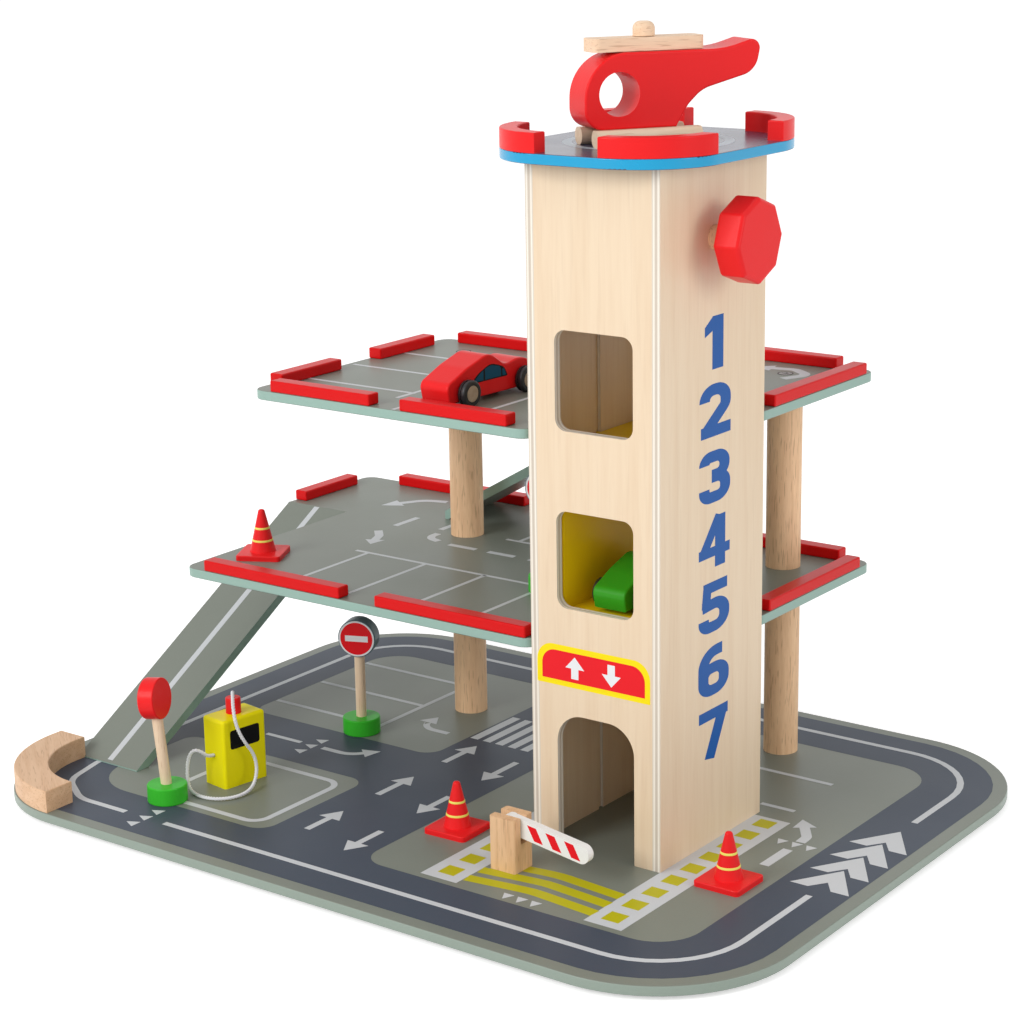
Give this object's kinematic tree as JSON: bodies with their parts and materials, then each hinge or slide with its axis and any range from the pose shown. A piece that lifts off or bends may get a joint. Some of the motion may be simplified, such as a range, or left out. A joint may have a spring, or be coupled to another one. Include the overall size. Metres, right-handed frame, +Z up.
{
  "type": "toy parking garage",
  "caption": "Wooden toy garage: a base board with a ply lift tower, parking decks on columns, ramps, guard rails, a winding knob, a helipad and loose play pieces.",
  "frame": {"origin": "centre of the footprint on the surface that the toy stands on", "axes": "+X along the tower's front face to the right, +Y to the back, +Z up"},
  "size_m": [0.5448, 0.4138, 0.4787],
  "materials": {
    "grey_board": "painted board, satin",
    "birch_ply": "clear-coated birch ply",
    "beech": "sanded beech",
    "red_paint": "red lacquer on wood",
    "yellow_paint": "yellow lacquer on wood",
    "green_paint": "green lacquer on wood",
    "blue_paint": "blue lacquer on wood",
    "black_rubber": "matt rubber",
    "clear_rubber": "translucent rubber",
    "white_cord": "twisted cotton"
  },
  "bodies": {
    "garage": {"base_board": "grey_board", "rubber_feet": "clear_rubber", "corner_buffer": "beech", "tower_front_panel": "birch_ply", "tower_back_panel": "birch_ply", "tower_left_panel": "birch_ply", "tower_right_panel": "birch_ply", "helipad_plate": "blue_paint", "helipad_curbs": "red_paint", "hoist_string": "white_cord", "lower_deck": "grey_board", "upper_deck": "grey_board", "lower_columns": "beech", "upper_columns": "beech", "lower_ramp": "grey_board", "upper_ramp": "grey_board", "lower_long_rails": "red_paint", "lower_short_rail": "red_paint", "upper_long_rail": "red_paint", "upper_medium_rails": "red_paint", "upper_short_rails": "red_paint", "barrier_post": "beech", "barrier_pin": "beech"},
    "winder": {"lift_shaft": "beech", "lift_knob": "red_paint", "string_winding": "white_cord"},
    "lift_car": {"lift_floor": "yellow_paint", "lift_roof": "yellow_paint", "lift_left_wall": "yellow_paint", "lift_right_wall": "yellow_paint"},
    "barrier_arm": {"barrier_arm": "beech"},
    "helicopter": {"helicopter_body": "red_paint", "helicopter_skids": "beech", "rotor_pin": "beech"},
    "rotor": {"rotor_bar": "beech"},
    "red_car": {"red_car_body": "red_paint"},
    "red_front_axle": {"red_car_front_wheels": "beech", "red_car_front_tyres": "black_rubber"},
    "red_rear_axle": {"red_car_rear_wheels": "beech", "red_car_rear_tyres": "black_rubber"},
    "green_car": {"green_car_body": "green_paint"},
    "green_front_axle": {"green_car_front_wheels": "beech", "green_car_front_tyres": "black_rubber"},
    "green_rear_axle": {"green_car_rear_wheels": "beech", "green_car_rear_tyres": "black_rubber"},
    "fuel_pump": {"pump_body": "yellow_paint", "pump_nozzle": "red_paint", "pump_hose": "white_cord"},
    "entry_sign": {"entry_sign_base": "green_paint", "entry_sign_pole": "beech", "entry_sign_disc": "red_paint"},
    "no_entry_sign": {"no_entry_sign_base": "green_paint", "no_entry_sign_pole": "beech", "no_entry_sign_disc": "red_paint"},
    "deck_sign": {"deck_sign_base": "green_paint", "deck_sign_pole": "beech", "deck_sign_disc": "red_paint"},
    "right_cone": {"right_cone": "red_paint"},
    "door_cone": {"door_cone": "red_paint"},
    "deck_cone": {"deck_cone": "red_paint"}
  },
  "joints": [
    {"name": "lift_slide", "type": "slide", "parent": "garage", "child": "lift_car", "axis": [0, 0, 1], "range_m": [-0.1366, 0.1044], "deforming": ["hoist_string"]},
    {"name": "knob_turn", "type": "hinge", "parent": "garage", "child": "winder", "pos_m": [0.1148, -0.01695, 0.3636], "axis": [1, 0, 0], "range_deg": [-890, 690]},
    {"name": "barrier_swing", "type": "hinge", "parent": "garage", "child": "barrier_arm", "pos_m": [0.0841, -0.1118, 0.0356], "axis": [0, -1, 0], "range_deg": [-4, 95]},
    {"name": "helicopter_lift_off", "type": "slide", "parent": "garage", "child": "helicopter", "axis": [0, 0, 1], "range_m": [0, 0.06]},
    {"name": "rotor_spin", "type": "hinge", "parent": "helicopter", "child": "rotor", "pos_m": [0.11371, -0.01863, 0.46], "axis": [0, 0, 1], "continuous": true},
    {"name": "red_car_lift_off", "type": "slide", "parent": "garage", "child": "red_car", "axis": [0, 0, 1], "range_m": [0, 0.06]},
    {"name": "red_front_roll", "type": "hinge", "parent": "red_car", "child": "red_front_axle", "pos_m": [-0.00737, -0.04114, 0.2635], "axis": [0.9977, -0.068, 0], "continuous": true},
    {"name": "red_rear_roll", "type": "hinge", "parent": "red_car", "child": "red_rear_axle", "pos_m": [-0.00383, 0.01074, 0.2635], "axis": [0.9977, -0.068, 0], "continuous": true},
    {"name": "green_car_roll", "type": "slide", "parent": "lift_car", "child": "green_car", "axis": [0, 1, 0], "range_m": [-0.005, 0.012]},
    {"name": "green_front_roll", "type": "hinge", "parent": "green_car", "child": "green_front_axle", "pos_m": [0.1165, -0.0448, 0.1591], "axis": [1, 0, 0], "continuous": true},
    {"name": "green_rear_roll", "type": "hinge", "parent": "green_car", "child": "green_rear_axle", "pos_m": [0.1165, 0.0072, 0.1591], "axis": [1, 0, 0], "continuous": true},
    {"name": "pump_lift_off", "type": "slide", "parent": "garage", "child": "fuel_pump", "axis": [0, 0, 1], "range_m": [0, 0.06]},
    {"name": "entry_sign_lift_off", "type": "slide", "parent": "garage", "child": "entry_sign", "axis": [0, 0, 1], "range_m": [0, 0.06]},
    {"name": "no_entry_sign_lift_off", "type": "slide", "parent": "garage", "child": "no_entry_sign", "axis": [0, 0, 1], "range_m": [0, 0.035]},
    {"name": "deck_sign_lift_off", "type": "slide", "parent": "garage", "child": "deck_sign", "axis": [0, 0, 1], "range_m": [0, 0.035]},
    {"name": "right_cone_lift_off", "type": "slide", "parent": "garage", "child": "right_cone", "axis": [0, 0, 1], "range_m": [0, 0.06]},
    {"name": "door_cone_lift_off", "type": "slide", "parent": "garage", "child": "door_cone", "axis": [0, 0, 1], "range_m": [0, 0.06]},
    {"name": "deck_cone_lift_off", "type": "slide", "parent": "garage", "child": "deck_cone", "axis": [0, 0, 1], "range_m": [0, 0.06]}
  ],
  "couplings": [
    {"joint": "knob_turn", "follows": "lift_slide", "rad_per_m": 111.11}
  ]
}
